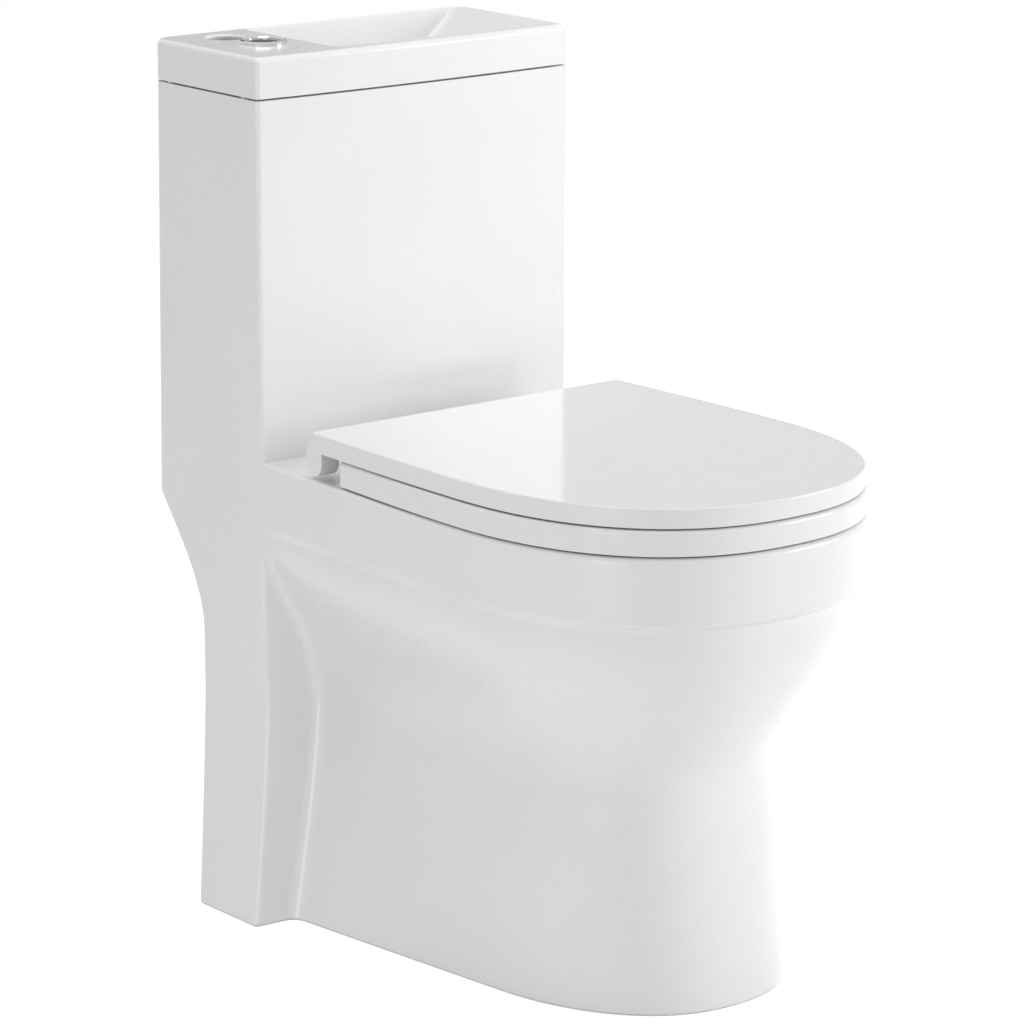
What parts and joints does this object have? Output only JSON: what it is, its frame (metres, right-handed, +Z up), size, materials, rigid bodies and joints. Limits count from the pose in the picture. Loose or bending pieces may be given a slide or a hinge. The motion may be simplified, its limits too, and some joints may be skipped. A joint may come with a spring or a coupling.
{
  "type": "toilet",
  "caption": "One-piece ceramic toilet with a seat, a cover, a flush button and a hand-wash basin moulded into the lid of its cistern.",
  "frame": {"origin": "on the floor, under the middle of the overall width and length", "axes": "+X to the right seen from the front, +Y from the bowl to the wall, +Z up"},
  "size_m": [0.424, 0.7, 0.8036],
  "materials": {
    "ceramic": "glossy white glaze",
    "seat_plastic": "glossy white",
    "chrome": "polished",
    "steel": "satin",
    "brass": "satin",
    "rubber": "matt black",
    "soft_pad": "matt translucent white",
    "white_plastic": "satin white",
    "grey_plastic": "satin grey",
    "blue_plastic": "satin blue"
  },
  "bodies": {
    "pan": {"pan_body": "ceramic", "hinge_plates": "steel", "hinge_posts": "white_plastic", "seat_bolts": "steel", "bolt_sleeves": "rubber", "sleeve_nuts": "brass", "ring_damper": "grey_plastic", "cover_damper": "grey_plastic", "lid_pads": "soft_pad", "flush_gasket": "rubber", "flush_base": "white_plastic", "flush_bolts": "steel", "flush_tower": "white_plastic", "flush_head": "blue_plastic", "fill_body": "white_plastic", "fill_washer": "rubber", "fill_nut": "white_plastic", "fill_head": "white_plastic", "fill_cap": "blue_plastic", "fill_pivot": "steel", "inlet_filter": "blue_plastic"},
    "seat_ring": {"seat_ring": "seat_plastic", "ring_buffers": "soft_pad"},
    "seat_cover": {"seat_cover": "seat_plastic", "cover_buffers": "soft_pad"},
    "lid": {"cistern_lid": "ceramic", "basin_waste": "chrome", "waste_gasket": "rubber", "waste_nut": "white_plastic", "waste_tailpipe": "white_plastic", "button_bezel": "chrome", "button_housing": "white_plastic", "button_nut": "white_plastic", "full_spring": "steel", "half_spring": "steel"},
    "full_button": {"full_button": "chrome", "full_push_rod": "white_plastic"},
    "half_button": {"half_button": "chrome", "half_push_rod": "white_plastic"},
    "flush_tube": {"overflow_tube": "white_plastic", "flush_seal": "rubber", "flush_float": "blue_plastic"},
    "half_float": {"half_float": "blue_plastic"},
    "full_lever": {"full_lever": "grey_plastic"},
    "half_lever": {"half_lever": "grey_plastic"},
    "fill_float": {"fill_float": "blue_plastic", "fill_link": "steel"},
    "fill_arm": {"fill_arm": "white_plastic"}
  },
  "joints": [
    {"name": "ring_hinge", "type": "hinge", "parent": "pan", "child": "seat_ring", "pos_m": [0, 0.093, 0.449], "axis": [-1, 0, 0], "range_deg": [0, 98]},
    {"name": "cover_hinge", "type": "hinge", "parent": "seat_ring", "child": "seat_cover", "pos_m": [0, 0.093, 0.449], "axis": [1, 0, 0], "range_deg": [-98, 0]},
    {"name": "lid_lift", "type": "slide", "parent": "pan", "child": "lid", "axis": [0, 0, 1], "range_m": [0, 0.14]},
    {"name": "full_press", "type": "slide", "parent": "lid", "child": "full_button", "axis": [0, 0, -1], "range_m": [0, 0.006], "stiffness_N_per_m": 400, "springref_m": -0.01, "deforming": ["full_spring"]},
    {"name": "half_press", "type": "slide", "parent": "lid", "child": "half_button", "axis": [0, 0, -1], "range_m": [0, 0.006], "stiffness_N_per_m": 400, "springref_m": -0.01, "deforming": ["half_spring"]},
    {"name": "tube_lift", "type": "slide", "parent": "pan", "child": "flush_tube", "axis": [0, 0, 1], "range_m": [0, 0.012]},
    {"name": "half_float_lift", "type": "slide", "parent": "pan", "child": "half_float", "axis": [0, 0, 1], "range_m": [0, 0.012]},
    {"name": "full_rock", "type": "hinge", "parent": "pan", "child": "full_lever", "pos_m": [-0.118, 0.26, 0.66], "axis": [1, 0, 0], "range_deg": [0, 33]},
    {"name": "half_rock", "type": "hinge", "parent": "pan", "child": "half_lever", "pos_m": [-0.118, 0.26, 0.66], "axis": [1, 0, 0], "range_deg": [0, 33]},
    {"name": "float_drop", "type": "slide", "parent": "pan", "child": "fill_float", "axis": [0, 0, 1], "range_m": [-0.014, 0]},
    {"name": "arm_tilt", "type": "hinge", "parent": "pan", "child": "fill_arm", "pos_m": [0.094, 0.3, 0.674], "axis": [0, 1, 0], "range_deg": [-30, 0]}
  ],
  "couplings": [
    {"joint": "tube_lift", "follows": "full_press", "ratio": 2},
    {"joint": "full_rock", "follows": "full_press", "rad_per_m": 95.99},
    {"joint": "half_float_lift", "follows": "half_press", "ratio": 2},
    {"joint": "half_rock", "follows": "half_press", "rad_per_m": 95.99},
    {"joint": "arm_tilt", "follows": "float_drop", "rad_per_m": 37.39}
  ]
}
